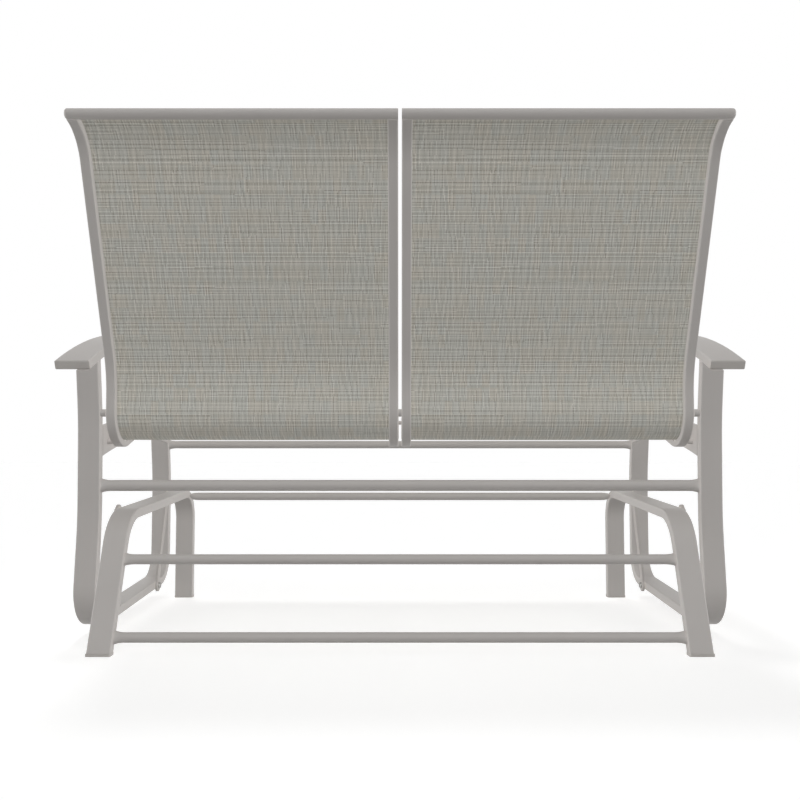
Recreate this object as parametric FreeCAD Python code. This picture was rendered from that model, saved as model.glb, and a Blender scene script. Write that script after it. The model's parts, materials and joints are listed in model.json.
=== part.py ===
import FreeCAD, Part
import math
import os

# Two-seat sling glider: a fixed base, four swinging hangers and a seat frame with two stretched slings.
# Millimetres. +X is the sitter's left, -Y the way the seat faces, +Z up, and the floor is Z = 0.

# Overall
OVERALL_DEPTH = 811.0
OVERALL_HEIGHT = 969.0

# Flat tube of the side frames, and the round cross tubes
FLAT_WIDTH = 44.5
FLAT_THICKNESS = 19.0
FLAT_WALL = 2.0
FLAT_EDGE_RADIUS = 3.0
TUBE_DIAMETER = 19.0
SEAT_REAR_TUBE_DIAMETER = 22.2
TUBE_WALL = 1.6
FLARE_LENGTH = 19.0
FLARE_GROWTH = 3.5
FLARE_SQUEEZE = 0.5
WELD_GAP = 0.1
ROUND_LIMIT = 0.45

# Places across the width
BASE_HALF_WIDTH = 569.0
PIVOT_GAP = 26.0
RAIL_TO_LEG = 10.0
CENTRE_GAP = 6.5
ARM_OVERHANG = 42.5

# Base side frame, on its centreline
RAIL_SLOPE = 2.35
BASE_RAIL_HEIGHT = 252.0
BASE_REAR_FOOT_Y = 280.7
BASE_REAR_LEAN = 22.3
BASE_FRONT_LEG_Y = -336.5
BASE_REAR_BEND = 85.0
BASE_FRONT_BEND = 68.0
BASE_LOWER_TUBE_HEIGHT = 30.0
BASE_MIDDLE_TUBE_HEIGHT = 165.0
BASE_FRONT_TUBE_AHEAD = 50.0

# Foot glides
FOOT_PLATE = 5.0
FOOT_LIP = 1.0
FOOT_PLUG = 14.0
PLUG_CLEARANCE = 0.2

# Seat side frame, on its centreline
SEAT_RAIL_HEIGHT = 33.0
SEAT_LOW_BEND = 68.5
REAR_LEG_Y = 146.45
REAR_LEG_WAIST_HEIGHT = 234.1
REAR_LEG_SHOULDER_HEIGHT = 433.8
REAR_LEG_KICK = 5.95
REAR_LEG_MIDDLE_LEAN = 1.95
REAR_LEG_TOP_LEAN = 9.15
REAR_LEG_WAIST_BEND = 560.0
REAR_LEG_SHOULDER_BEND = 650.0
FRONT_LEG_Y = -367.5
FRONT_LEG_BEND_HEIGHT = 302.0
FRONT_LEG_TOP_LEAN = 10.5
FRONT_LEG_BEND = 500.0
SEAT_REAR_TUBE_HEIGHT = 302.5

# Armrest
ARM_WIDTH = 68.0
ARM_THICKNESS = 19.0
ARM_WALL = 2.5
ARM_ARC_RADIUS = 1264.0
ARM_CREST_Y = -334.0
ARM_CREST_HEIGHT = 658.0
ARM_REAR_REACH = 10.0
ARM_EDGE_RADIUS = 3.0
ARM_FRONT_CORNER = 20.0
ARM_FRONT_CAP = 24.0
ARM_REAR_CAP = 4.0
ARM_CAP_PLUG = 12.0
LEG_TOP_RISE = 13.0
LEG_TOP_CAP = 3.0

# Hangers and their pivots
FRONT_PIVOT_Y = -249.0
REAR_PIVOT_Y = 107.0
HANGER_THICKNESS = 5.0
HANGER_WIDTH = 22.0
HANGER_EYE_RADIUS = 14.5
HANGER_EYE_STRAIGHT = 22.0
HANGER_BEND = 12.0
PIVOT_BOLT_DIAMETER = 8.0
PIVOT_HEAD_DIAMETER = 14.0
PIVOT_HEAD_HEIGHT = 4.8
PIVOT_INSERT_DIAMETER = 11.0
PIVOT_INSERT_LENGTH = 12.0
HEAD_DOME = 0.55
BOLT_CLEARANCE = 0.1
RUNNING_CLEARANCE = 0.05
RUNNING_GAP = 0.2
BUSH_DIAMETER = 12.0
BUSH_FLANGE_DIAMETER = 20.0
BUSH_FLANGE = 1.8

# Sling rails, on their centreline from the top roll to the front drop
RAIL_WIDTH = 19.0
RAIL_DEPTH = 20.0
RAIL_EDGE_RADIUS = 2.5
RAIL_WALL = 1.8
GROOVE_OFFSET = 4.0
GROOVE_MOUTH = 3.0
GROOVE_LIP = 3.0
CHANNEL_SIZE = 6.0
BAR_DIAMETER = 19.0
BAR_END_RADIUS = 5.0
BAR_PLUG_LENGTH = 12.0
BAR_PLUG_FLANGE = 1.5
ROLL_LEVEL = 2.2
ROLL_ANGLE = 12.0
ROLL_RUN = 6.6
ROLL_BEND = 95.0
LUMBAR_HEIGHT = 525.0
LUMBAR_BEND = 213.0
HIP_HEIGHT = 368.8
HIP_BEND = 62.0
SEAT_REAR_RISE = 16.2
SEAT_KNEE_Y = -60.0
SEAT_KNEE_BEND = 500.0
SEAT_FRONT_RISE = 3.5
FRONT_DROP = 62.0
FRONT_DROP_BEND = 50.0
FRONT_OVERHANG = 8.0
FRONT_TUBE_BELOW = 62.5
FRONT_POST_DIAMETER = 14.0
RAIL_TAIL = 4.0
COPE_DEPTH = 2.5
COPE_GAP = 0.15
REST_GAP = 0.3

# Slings
SLING_THICKNESS = 1.2
SPLINE_DIAMETER = 4.8

# Stretchers, spacers and studs
STRETCHER_THICKNESS = 6.0
STRETCHER_REAR_BELOW = 31.0
STRETCHER_REAR_ABOVE = 30.5
STRETCHER_MIDDLE_BELOW = 29.5
STRETCHER_MIDDLE_ABOVE = 23.0
STRETCHER_FRONT_BELOW = 51.5
STRETCHER_FRONT_ABOVE = 13.0
STRETCHER_BOLT_INSET = 41.0
LEG_SPACER_HEIGHT = 447.0
LEG_SPACER_DIAMETER = 15.0
STRETCHER_SPACER_DIAMETER = 10.0
FRAME_BOLT_DIAMETER = 6.0
FRAME_HEAD_DIAMETER = 11.0
FRAME_HEAD_HEIGHT = 3.6
BOLT_INTO_RAIL = 8.0
STUD_INTO_LEG = 10.0

# Worked out from the sizes above
BASE_INNER_X = BASE_HALF_WIDTH - FLAT_WIDTH
SEAT_INNER_X = BASE_HALF_WIDTH + PIVOT_GAP
SEAT_OUTER_X = SEAT_INNER_X + FLAT_WIDTH
ARM_OUTER_X = SEAT_OUTER_X + ARM_OVERHANG
ARM_INNER_X = ARM_OUTER_X - ARM_WIDTH
ARM_FRONT_Y = -OVERALL_DEPTH / 2
OUTER_RAIL_X = SEAT_INNER_X - RAIL_TO_LEG
INNER_RAIL_X = CENTRE_GAP / 2
BAR_RADIUS = BAR_DIAMETER / 2
TOP_BAR = (OVERALL_DEPTH / 2 - BAR_RADIUS, OVERALL_HEIGHT - BAR_RADIUS)
FAR = 2 * OVERALL_HEIGHT
X_AXIS = FreeCAD.Vector(1, 0, 0)


def side(y, z, x=0.0):
    """A point given by its side view."""
    return FreeCAD.Vector(x, y, z)


def heading(degrees):
    """A direction of the side view, measured from the rear towards up."""
    angle = math.radians(degrees)
    return side(math.cos(angle), math.sin(angle))


def level(z):
    return side(0, z), heading(0)


def upright(y):
    return side(y, 0), heading(90)


def meet(first, second):
    """Where two lines of the side view cross, each a point and a direction."""
    (a, u), (b, v) = first, second
    reach = ((b.y - a.y) * v.z - (b.z - a.z) * v.y) / (u.y * v.z - u.z * v.y)
    return a + u * reach


def rounded_chain(corners, radii, closed=False):
    """Edges through the corners, each rounded by a tangent arc of its radius; 0 keeps a corner sharp."""
    count = len(corners)
    stops = []
    edges = []
    for i, (corner, radius) in enumerate(zip(corners, radii)):
        if radius == 0:
            stops.append((corner, corner))
            continue
        into = (corner - corners[i - 1]).normalize()
        onward = (corners[(i + 1) % count] - corner).normalize()
        half_turn = into.getAngle(onward) / 2
        setback = radius * math.tan(half_turn)
        start = corner - into * setback
        end = corner + onward * setback
        middle = corner + (onward - into).normalize() * (radius / math.cos(half_turn) - radius)
        edges.append((i + 0.5, Part.Arc(start, middle, end).toShape()))
        stops.append((start, end))
    for i in range(count if closed else count - 1):
        start = stops[i][1]
        end = stops[(i + 1) % count][0]
        edges.append((i + 1.0, Part.makeLine(start, end)))
    return [edge for place, edge in sorted(edges, key=lambda item: item[0])]


class Route:
    """The centreline of a bent piece in the side view, and the sections swept along it."""

    def __init__(self, corners, radii):
        self.corners = corners
        self.wire = Part.Wire(rounded_chain(corners, [0, *radii, 0]))
        forward = (corners[1] - corners[0]).normalize()
        self.out = side(-forward.z, forward.y)

    def sweep(self, outline):
        """Solid swept from an outline of (across, out, corner radius)."""
        ring = [self.corners[0] + X_AXIS * x + self.out * out for x, out, radius in outline]
        edges = rounded_chain(ring, [radius for x, out, radius in outline], closed=True)
        return self.wire.makePipeShell([Part.Wire(edges)], True, False)

    def sweep_round(self, x, out, diameter):
        """Solid rod swept beside the centreline."""
        forward = self.corners[1] - self.corners[0]
        circle = Part.makeCircle(diameter / 2, self.corners[0] + X_AXIS * x + self.out * out, forward)
        return self.wire.makePipeShell([Part.Wire([circle])], True, False)

    def tangent(self, spot):
        """Direction of the centreline at one of its points."""
        edge = min(self.wire.Edges, key=lambda piece: piece.distToShape(Part.Vertex(spot))[0])
        return edge.tangentAt(edge.Curve.parameter(spot))

    def beside(self, spot, out):
        """Point a distance out from the centreline at one of its points."""
        forward = self.tangent(spot)
        return spot + side(-forward.z, forward.y) * out

    def crossing(self, probe, choose):
        """Where a probe line crosses the centreline, choosing among several crossings."""
        spots = [pair[0] for pair in self.wire.distToShape(probe)[1]]
        return choose(spots)

    def at_height(self, z, choose):
        probe = Part.makeLine(side(-FAR, z), side(FAR, z))
        return self.crossing(probe, choose)

    def at_depth(self, y):
        probe = Part.makeLine(side(y, -FAR), side(y, FAR))
        return self.crossing(probe, highest)


def rearmost(spots):
    return max(spots, key=lambda spot: spot.y)


def foremost(spots):
    return min(spots, key=lambda spot: spot.y)


def highest(spots):
    return max(spots, key=lambda spot: spot.z)


def lowest(spots):
    return min(spots, key=lambda spot: spot.z)


def steep(edge):
    """Whether an edge sets out nearer to upright than to level."""
    return abs(edge.tangentAt(edge.FirstParameter).z) > math.sin(math.radians(45))


def box(x0, x1, y0, y1, z0, z1):
    return Part.makeBox(x1 - x0, y1 - y0, z1 - z0, FreeCAD.Vector(x0, y0, z0))


def rod(diameter, x0, x1, spot):
    """Round bar across the width at a point of the side view."""
    return Part.makeCylinder(diameter / 2, x1 - x0, side(spot.y, spot.z, x0), X_AXIS)


def mirrored(shape):
    return shape.mirror(FreeCAD.Vector(0, 0, 0), X_AXIS)


def save(name, *shapes):
    solids = [solid for shape in shapes for solid in shape.Solids]
    result = solids[0] if len(solids) == 1 else Part.makeCompound(solids)
    result.exportStep("parts/" + name + ".step")


def save_pair(name, *shapes):
    """The left piece as modelled and its mirror image on the right."""
    save(name + "_left", *shapes)
    save(name + "_right", *[mirrored(shape) for shape in shapes])


def save_both_sides(name, *shapes):
    """One node for a group of like pieces on both sides."""
    save(name, *shapes, *[mirrored(shape) for shape in shapes])


# Flat tube sections

def flat_outline(x0, inset=0.0, edge_radius=0.0):
    low = x0 + inset
    high = x0 + FLAT_WIDTH - inset
    half = FLAT_THICKNESS / 2 - inset
    return [(low, -half, edge_radius), (high, -half, edge_radius),
            (high, half, edge_radius), (low, half, edge_radius)]


# Base side frame: rear leg, top rail and front leg

def base_side_route():
    rear_leg = (side(BASE_REAR_FOOT_Y, 0), heading(90 + BASE_REAR_LEAN))
    top_rail = (side(0, BASE_RAIL_HEIGHT), heading(180 - RAIL_SLOPE))
    front_leg = upright(BASE_FRONT_LEG_Y)
    below_floor = level(-FLAT_THICKNESS)
    corners = [meet(rear_leg, below_floor), meet(rear_leg, top_rail),
               meet(top_rail, front_leg), meet(front_leg, below_floor)]
    return Route(corners, [BASE_REAR_BEND, BASE_FRONT_BEND])


def pivot(y, rail_height):
    """A pivot on the centreline of a sloping rail."""
    return side(y, rail_height - y * math.tan(math.radians(RAIL_SLOPE)))


base_route = base_side_route()
UPPER_PIVOTS = [pivot(y, BASE_RAIL_HEIGHT) for y in (FRONT_PIVOT_Y, REAR_PIVOT_Y)]
LOWER_PIVOTS = [pivot(y, SEAT_RAIL_HEIGHT) for y in (FRONT_PIVOT_Y, REAR_PIVOT_Y)]
BOLT_HOLE = PIVOT_BOLT_DIAMETER + 2 * BOLT_CLEARANCE
UPPER_INSERT_END = BASE_HALF_WIDTH - FLAT_WALL - PIVOT_INSERT_LENGTH
LOWER_INSERT_END = SEAT_INNER_X + FLAT_WALL + PIVOT_INSERT_LENGTH


def base_side():
    tube = base_route.sweep(flat_outline(BASE_INNER_X, 0.0, FLAT_EDGE_RADIUS))
    bore = base_route.sweep(flat_outline(BASE_INNER_X, FLAT_WALL))
    tube = tube.cut(bore).cut(box(0, FAR, -FAR, FAR, -FAR, FOOT_PLATE))
    for spot in UPPER_PIVOTS:
        tube = tube.cut(rod(BOLT_HOLE, UPPER_INSERT_END, FAR, spot))
    return tube


def foot_glide(foot_y, lean):
    """Moulded foot: a plate under the leg's cut end and a plug up its bore."""
    half_length = FLAT_THICKNESS / 2 / math.cos(math.radians(lean)) + FOOT_LIP
    plate = box(BASE_INNER_X - FOOT_LIP, BASE_HALF_WIDTH + FOOT_LIP,
                foot_y - half_length, foot_y + half_length, 0, FOOT_PLATE)
    plate = plate.makeFillet(FLAT_EDGE_RADIUS + FOOT_LIP, [edge for edge in plate.Edges if steep(edge)])
    plug = base_route.sweep(flat_outline(BASE_INNER_X, FLAT_WALL + PLUG_CLEARANCE))
    reach = box(0, FAR, foot_y - 2 * half_length, foot_y + 2 * half_length, 0, FOOT_PLATE + FOOT_PLUG)
    return plate.fuse(plug.common(reach)).removeSplitter()


# Round cross tubes, their ends flattened into upright ovals where they meet the legs

def oval(radius, inset, flatness, x, spot):
    """Section of a tube end, round at flatness 0 and the full oval at 1."""
    centre = side(spot.y, spot.z, x)
    if flatness == 0:
        return Part.Wire([Part.makeCircle(radius - inset, centre, X_AXIS)])
    tall = radius + flatness * FLARE_GROWTH - inset
    deep = radius * (1 - flatness * FLARE_SQUEEZE) - inset
    ellipse = Part.Ellipse(centre + side(0, tall), centre - side(deep, 0), centre)
    return Part.Wire([ellipse.toShape()])


def cross_tube(diameter, inner_x, route, spot):
    """Tube between two legs; each station of its ends is a share of the flare's length and a flatness."""
    stations = [(1.5, 0), (1, 0), (0.5, 0.25), (0, 1)]
    skins = []
    for inset in (0, TUBE_WALL):
        rings = [oval(diameter / 2, inset, flatness, inner_x - share * FLARE_LENGTH, spot)
                 for share, flatness in stations]
        skins.append(Part.makeLoft(rings, True))
    end = skins[0].cut(skins[1])
    leg = route.tangent(spot)
    end.rotate(spot, X_AXIS, math.degrees(math.atan2(-leg.y, leg.z)))
    round_x = inner_x - stations[0][0] * FLARE_LENGTH
    tube = rod(diameter, -round_x, round_x, spot).cut(rod(diameter - 2 * TUBE_WALL, -round_x, round_x, spot))
    return tube.fuse([end, mirrored(end)])


# Seat side frame: rear leg, bottom rail and front leg in one bent tube

def seat_side_route():
    waist = side(REAR_LEG_Y, REAR_LEG_WAIST_HEIGHT)
    shoulder = meet((waist, heading(90 - REAR_LEG_MIDDLE_LEAN)), level(REAR_LEG_SHOULDER_HEIGHT))
    front_bend = side(FRONT_LEG_Y, FRONT_LEG_BEND_HEIGHT)
    over_arm = level(ARM_CREST_HEIGHT)
    bottom_rail = (side(0, SEAT_RAIL_HEIGHT), heading(180 - RAIL_SLOPE))
    corners = [meet((shoulder, heading(90 - REAR_LEG_TOP_LEAN)), over_arm), shoulder, waist,
               meet((waist, heading(90 + REAR_LEG_KICK)), bottom_rail),
               meet(bottom_rail, upright(FRONT_LEG_Y)), front_bend,
               meet((front_bend, heading(90 - FRONT_LEG_TOP_LEAN)), over_arm)]
    radii = [REAR_LEG_SHOULDER_BEND, REAR_LEG_WAIST_BEND, SEAT_LOW_BEND, SEAT_LOW_BEND, FRONT_LEG_BEND]
    return Route(corners, radii)


seat_route = seat_side_route()


# Armrest: an arched hollow bar with a cap at each end

def arm_spot(y, drop, x):
    """Point a distance below the arm's top face, measured square to that face at a depth."""
    across = y - ARM_CREST_Y
    rise = math.sqrt(ARM_ARC_RADIUS ** 2 - across ** 2)
    scale = 1 - drop / ARM_ARC_RADIUS
    return side(ARM_CREST_Y + across * scale, ARM_CREST_HEIGHT - ARM_ARC_RADIUS + rise * scale, x)


def arm_arc(y0, y1, drop, x):
    return Part.Arc(*[arm_spot(y, drop, x) for y in (y0, (y0 + y1) / 2, y1)]).toShape()


arm_underside = arm_arc(ARM_CREST_Y + ARM_ARC_RADIUS / 2, ARM_CREST_Y, ARM_THICKNESS, 0)
ARM_REAR_Y = seat_route.crossing(arm_underside, rearmost).y + ARM_REAR_REACH


def arm_block(y0, y1, inset):
    """Arched bar between square cuts at two depths, inset from the arm's long faces."""
    x0 = ARM_INNER_X + inset
    top = arm_arc(y0, y1, inset, x0)
    underside = arm_arc(y1, y0, ARM_THICKNESS - inset, x0)
    front = Part.makeLine(top.Vertexes[1].Point, underside.Vertexes[0].Point)
    rear = Part.makeLine(underside.Vertexes[1].Point, top.Vertexes[0].Point)
    face = Part.Face(Part.Wire([top, front, underside, rear]))
    return face.extrude(X_AXIS * (ARM_WIDTH - 2 * inset))


def arm_blank():
    blank = arm_block(ARM_REAR_Y, ARM_FRONT_Y, 0.0)
    corners = [edge for edge in blank.Edges if steep(edge) and edge.CenterOfMass.y < ARM_CREST_Y]
    blank = blank.makeFillet(ARM_FRONT_CORNER, corners)
    rims = [edge for edge in blank.Edges if not steep(edge)]
    return blank.makeFillet(min(ARM_EDGE_RADIUS, ROUND_LIMIT * ARM_THICKNESS), rims)


def arm_pieces():
    blank = arm_blank()
    front_seam = ARM_FRONT_Y + ARM_FRONT_CAP
    rear_seam = ARM_REAR_Y - ARM_REAR_CAP
    bar = blank.common(arm_block(rear_seam, front_seam, -ARM_EDGE_RADIUS))
    bar = bar.cut(arm_block(rear_seam, front_seam, ARM_WALL))
    plug_inset = ARM_WALL + PLUG_CLEARANCE
    front_cap = blank.common(arm_block(front_seam, ARM_FRONT_Y - ARM_FRONT_CAP, -ARM_EDGE_RADIUS))
    front_cap = front_cap.fuse(arm_block(front_seam + ARM_CAP_PLUG, front_seam, plug_inset))
    rear_cap = blank.common(arm_block(ARM_REAR_Y + ARM_REAR_CAP, rear_seam, -ARM_EDGE_RADIUS))
    rear_cap = rear_cap.fuse(arm_block(rear_seam, rear_seam - ARM_CAP_PLUG, plug_inset))
    return bar, front_cap.removeSplitter(), rear_cap.removeSplitter()


def above_arm(drop):
    """Space over the arm's underside, running up inboard of the arm beside its inner edge."""
    rear = ARM_REAR_Y + 2 * FLAT_THICKNESS
    underside = arm_arc(rear, ARM_FRONT_Y, ARM_THICKNESS + drop, ARM_INNER_X)
    front_top = side(ARM_FRONT_Y, FAR, ARM_INNER_X)
    rear_top = side(rear, FAR, ARM_INNER_X)
    edges = [underside, Part.makeLine(underside.Vertexes[1].Point, front_top),
             Part.makeLine(front_top, rear_top), Part.makeLine(rear_top, underside.Vertexes[0].Point)]
    face = Part.Face(Part.Wire(edges))
    inboard = ARM_INNER_X - SEAT_INNER_X
    climb = FreeCAD.Vector(-inboard, 0, LEG_TOP_RISE) * 2
    return [face.extrude(X_AXIS * FAR), face.extrude(climb)]


def seat_side():
    tube = seat_route.sweep(flat_outline(SEAT_INNER_X, 0.0, FLAT_EDGE_RADIUS))
    tube = tube.cut(above_arm(WELD_GAP))
    bore = seat_route.sweep(flat_outline(SEAT_INNER_X, FLAT_WALL))
    bore = bore.cut(above_arm(LEG_TOP_CAP))
    tube = tube.cut(bore)
    for spot in LOWER_PIVOTS:
        tube = tube.cut(rod(BOLT_HOLE, 0, LOWER_INSERT_END, spot))
    return tube.cut(rod(FRAME_HOLE, 0, SEAT_INNER_X + STUD_INTO_LEG, leg_spacer_spot()))


# Hangers, bushes and pivot bolts

UPPER_EYE_X = BASE_HALF_WIDTH + BUSH_FLANGE + RUNNING_GAP
LOWER_EYE_X = SEAT_INNER_X - BUSH_FLANGE - RUNNING_GAP - HANGER_THICKNESS


def hanger(upper, lower):
    """Flat strap, slanted between its two eyes so that each lies beside its own rail."""
    bend_high = upper.z - HANGER_EYE_STRAIGHT
    bend_low = lower.z + HANGER_EYE_STRAIGHT
    top = upper.z + HANGER_EYE_RADIUS
    bottom = lower.z - HANGER_EYE_RADIUS
    inner = [(UPPER_EYE_X, top), (UPPER_EYE_X, bend_high), (LOWER_EYE_X, bend_low), (LOWER_EYE_X, bottom)]
    outer = [(x + HANGER_THICKNESS, z) for x, z in reversed(inner)]
    rear_y = upper.y - HANGER_EYE_RADIUS
    loop = [FreeCAD.Vector(x, rear_y, z) for x, z in inner + outer]
    outline = rounded_chain(loop, [0, HANGER_BEND, HANGER_BEND, 0] * 2, closed=True)
    band = Part.Face(Part.Wire(outline)).extrude(side(2 * HANGER_EYE_RADIUS, 0))
    shank = box(0, FAR, upper.y - HANGER_WIDTH / 2, upper.y + HANGER_WIDTH / 2, lower.z, upper.z)
    eyes = [rod(2 * HANGER_EYE_RADIUS, 0, FAR, spot) for spot in (upper, lower)]
    strap = band.common(shank.fuse(eyes).removeSplitter())
    for spot in (upper, lower):
        strap = strap.cut(rod(BUSH_DIAMETER, 0, FAR, spot))
    return strap


BUSH_BORE = PIVOT_BOLT_DIAMETER + 2 * RUNNING_CLEARANCE


def bush(spot, eye_x, flange_x):
    body = rod(BUSH_DIAMETER, eye_x, eye_x + HANGER_THICKNESS, spot)
    flange = rod(BUSH_FLANGE_DIAMETER, flange_x, flange_x + BUSH_FLANGE, spot)
    return body.fuse(flange).cut(rod(BUSH_BORE, 0, FAR, spot)).removeSplitter()


def button_head(diameter, height, x, facing, spot):
    """Low domed bolt head, standing out from x towards facing."""
    head = Part.makeCylinder(diameter / 2, height, side(spot.y, spot.z, x), X_AXIS * facing)
    rim = [edge for edge in head.Edges if edge.Closed and abs(edge.CenterOfMass.x - x) > height / 2]
    return head.makeFillet(HEAD_DOME * height, rim)


def threaded_inserts(x0, x1, route, frame_x, spots):
    """Round nuts set inside a side frame behind the wall that the bolts come through."""
    hollow = route.sweep(flat_outline(frame_x, FLAT_WALL))
    rings = [rod(PIVOT_INSERT_DIAMETER, x0, x1, spot).cut(rod(BUSH_BORE, x0, x1, spot)) for spot in spots]
    return [ring.common(hollow) for ring in rings]


def upper_bolt(spot):
    """Bolt from outside the hanger, through the base rail's outer wall, into its insert."""
    head_x = UPPER_EYE_X + HANGER_THICKNESS + RUNNING_GAP
    shank = rod(PIVOT_BOLT_DIAMETER, UPPER_INSERT_END, head_x, spot)
    return shank.fuse(button_head(PIVOT_HEAD_DIAMETER, PIVOT_HEAD_HEIGHT, head_x, 1, spot)).removeSplitter()


def lower_bolt(spot):
    """Bolt from inside the hanger, through the seat rail's inner wall, into its insert."""
    head_x = LOWER_EYE_X - RUNNING_GAP
    shank = rod(PIVOT_BOLT_DIAMETER, head_x, LOWER_INSERT_END, spot)
    return shank.fuse(button_head(PIVOT_HEAD_DIAMETER, PIVOT_HEAD_HEIGHT, head_x, -1, spot)).removeSplitter()


# Sling rails, bars and slings

CHAMBER_LOW = CHANNEL_SIZE / 2 - GROOVE_OFFSET + RAIL_WALL
CHAMBER_HIGH = RAIL_DEPTH / 2 - RAIL_WALL
CHAMBER_MIDDLE = (CHAMBER_LOW + CHAMBER_HIGH) / 2
LUMBAR_Y = seat_route.at_height(LEG_SPACER_HEIGHT, rearmost).y - CHAMBER_MIDDLE


def roll_corners():
    """Start of the rolled top, its corner with the back, and the lumbar corner that the back rises from."""
    forward = heading(180 + ROLL_ANGLE)
    roll = (side(TOP_BAR[0], TOP_BAR[1] + ROLL_LEVEL), forward)
    start = meet(roll, upright(TOP_BAR[0] - BAR_RADIUS + COPE_DEPTH))
    bend_centre = start + forward * ROLL_RUN + side(-forward.z, forward.y) * ROLL_BEND
    lumbar = side(LUMBAR_Y, LUMBAR_HEIGHT)
    to_centre = bend_centre - lumbar
    slant = math.atan2(to_centre.z, to_centre.y) + math.asin(ROLL_BEND / to_centre.Length)
    return start, meet(roll, (lumbar, heading(math.degrees(slant)))), lumbar


def seat_run():
    """Hip and knee corners, and the headings of the seat's front run and of the drop before it."""
    hip = side(LUMBAR_Y, HIP_HEIGHT)
    knee = meet((hip, heading(180 - SEAT_REAR_RISE)), upright(SEAT_KNEE_Y))
    return hip, knee, heading(180 - SEAT_FRONT_RISE), heading(180 + FRONT_DROP)


def under_run(onward):
    """From the centreline of the seat's front run down to the front tube's axis."""
    return side(-onward.z, onward.y) * FRONT_TUBE_BELOW


def front_tube_place():
    """On the front legs, a set distance under the seat's front run."""
    hip, knee, onward, fall = seat_run()
    start = knee + under_run(onward)
    return seat_route.crossing(Part.makeLine(start, start + onward * FAR), foremost)


seat_front_tube_spot = front_tube_place()


def sling_rail_route():
    """Rolled top, reclined back, hip bend, rising seat, and a front drop ahead of the front tube."""
    hip, knee, onward, fall = seat_run()
    front = seat_front_tube_spot - under_run(onward) + onward * FRONT_OVERHANG
    setback = FRONT_DROP_BEND * math.tan(math.radians(SEAT_FRONT_RISE + FRONT_DROP) / 2)
    corners = [*roll_corners(), hip, knee, front, front + fall * (setback + RAIL_TAIL)]
    radii = [ROLL_BEND, LUMBAR_BEND, HIP_BEND, SEAT_KNEE_BEND, FRONT_DROP_BEND]
    return Route(corners, radii)


rail_route = sling_rail_route()
rail_fall = (rail_route.corners[-1] - rail_route.corners[-2]).normalize()
top_bar_spot = side(*TOP_BAR)
front_bar_spot = rail_route.corners[-1] + rail_fall * (BAR_RADIUS - COPE_DEPTH)
OUTER_SLING_FACE = OUTER_RAIL_X - RAIL_WIDTH
INNER_SLING_FACE = INNER_RAIL_X + RAIL_WIDTH
FRAME_HOLE = FRAME_BOLT_DIAMETER + 2 * BOLT_CLEARANCE
SLING_HEM = GROOVE_LIP + (CHANNEL_SIZE - SPLINE_DIAMETER) / 2 - REST_GAP


def rail_outline(face_x, away):
    """Extrusion with a hem channel behind a narrow mouth in the face towards the sling."""
    half = RAIL_DEPTH / 2
    mouth = GROOVE_MOUTH / 2
    channel = CHANNEL_SIZE / 2
    deep = GROOVE_LIP + CHANNEL_SIZE
    steps = [(0, half, RAIL_EDGE_RADIUS), (RAIL_WIDTH, half, RAIL_EDGE_RADIUS),
             (RAIL_WIDTH, -half, RAIL_EDGE_RADIUS), (0, -half, RAIL_EDGE_RADIUS)]
    groove = [(0, -mouth), (GROOVE_LIP, -mouth), (GROOVE_LIP, -channel), (deep, -channel),
              (deep, channel), (GROOVE_LIP, channel), (GROOVE_LIP, mouth), (0, mouth)]
    steps += [(depth, out - GROOVE_OFFSET, 0) for depth, out in groove]
    return [(face_x + away * depth, out, radius) for depth, out, radius in steps]


def chamber_outline(face_x, away):
    """Hollow of the extrusion behind the hem channel."""
    near = face_x + away * RAIL_WALL
    far = face_x + away * (RAIL_WIDTH - RAIL_WALL)
    return [(near, CHAMBER_LOW, 0), (far, CHAMBER_LOW, 0), (far, CHAMBER_HIGH, 0), (near, CHAMBER_HIGH, 0)]


def sling_rail(face_x, away, holes):
    rail = rail_route.sweep(rail_outline(face_x, away)).cut(rail_route.sweep(chamber_outline(face_x, away)))
    for spot in (top_bar_spot, front_bar_spot):
        rail = rail.cut(rod(BAR_DIAMETER + 2 * COPE_GAP, -FAR, FAR, spot))
    rail = rail.cut(box(-FAR, FAR, -FAR, FAR, OVERALL_HEIGHT, FAR))
    outer_wall = face_x + away * (RAIL_WIDTH - RAIL_WALL / 2)
    for spot in holes:
        rail = rail.cut(rod(FRAME_HOLE, outer_wall - RAIL_WALL, outer_wall + RAIL_WALL, spot))
    return rail


def front_post():
    """Post on the front tube that carries an inner rail, coped to the rail's underside."""
    spot = seat_front_tube_spot
    middle_x = INNER_RAIL_X + RAIL_WIDTH / 2
    height = rail_route.at_depth(spot.y).z - spot.z
    post = Part.makeCylinder(FRONT_POST_DIAMETER / 2, height, side(spot.y, spot.z, middle_x))
    reach = RAIL_DEPTH / 2 + REST_GAP
    far_x = INNER_SLING_FACE + REST_GAP
    rail_space = [(0, -reach, 0), (far_x, -reach, 0), (far_x, reach, 0), (0, reach, 0)]
    post = post.cut(rail_route.sweep(rail_space))
    return post.cut(rod(TUBE_DIAMETER - 2 * TUBE_WALL, 0, FAR, spot))


def cross_bar(spot):
    """Tube over the ends of one panel's two rails, bored from the middle, with a rounded outer end."""
    bar = rod(BAR_DIAMETER, INNER_RAIL_X + BAR_PLUG_FLANGE, OUTER_RAIL_X, spot)
    end = max((edge for edge in bar.Edges if edge.Closed), key=lambda edge: edge.CenterOfMass.x)
    bar = bar.makeFillet(min(BAR_END_RADIUS, ROUND_LIMIT * BAR_DIAMETER), [end])
    return bar.cut(rod(BAR_DIAMETER - 2 * TUBE_WALL, 0, OUTER_RAIL_X - BAR_END_RADIUS - TUBE_WALL, spot))


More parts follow.
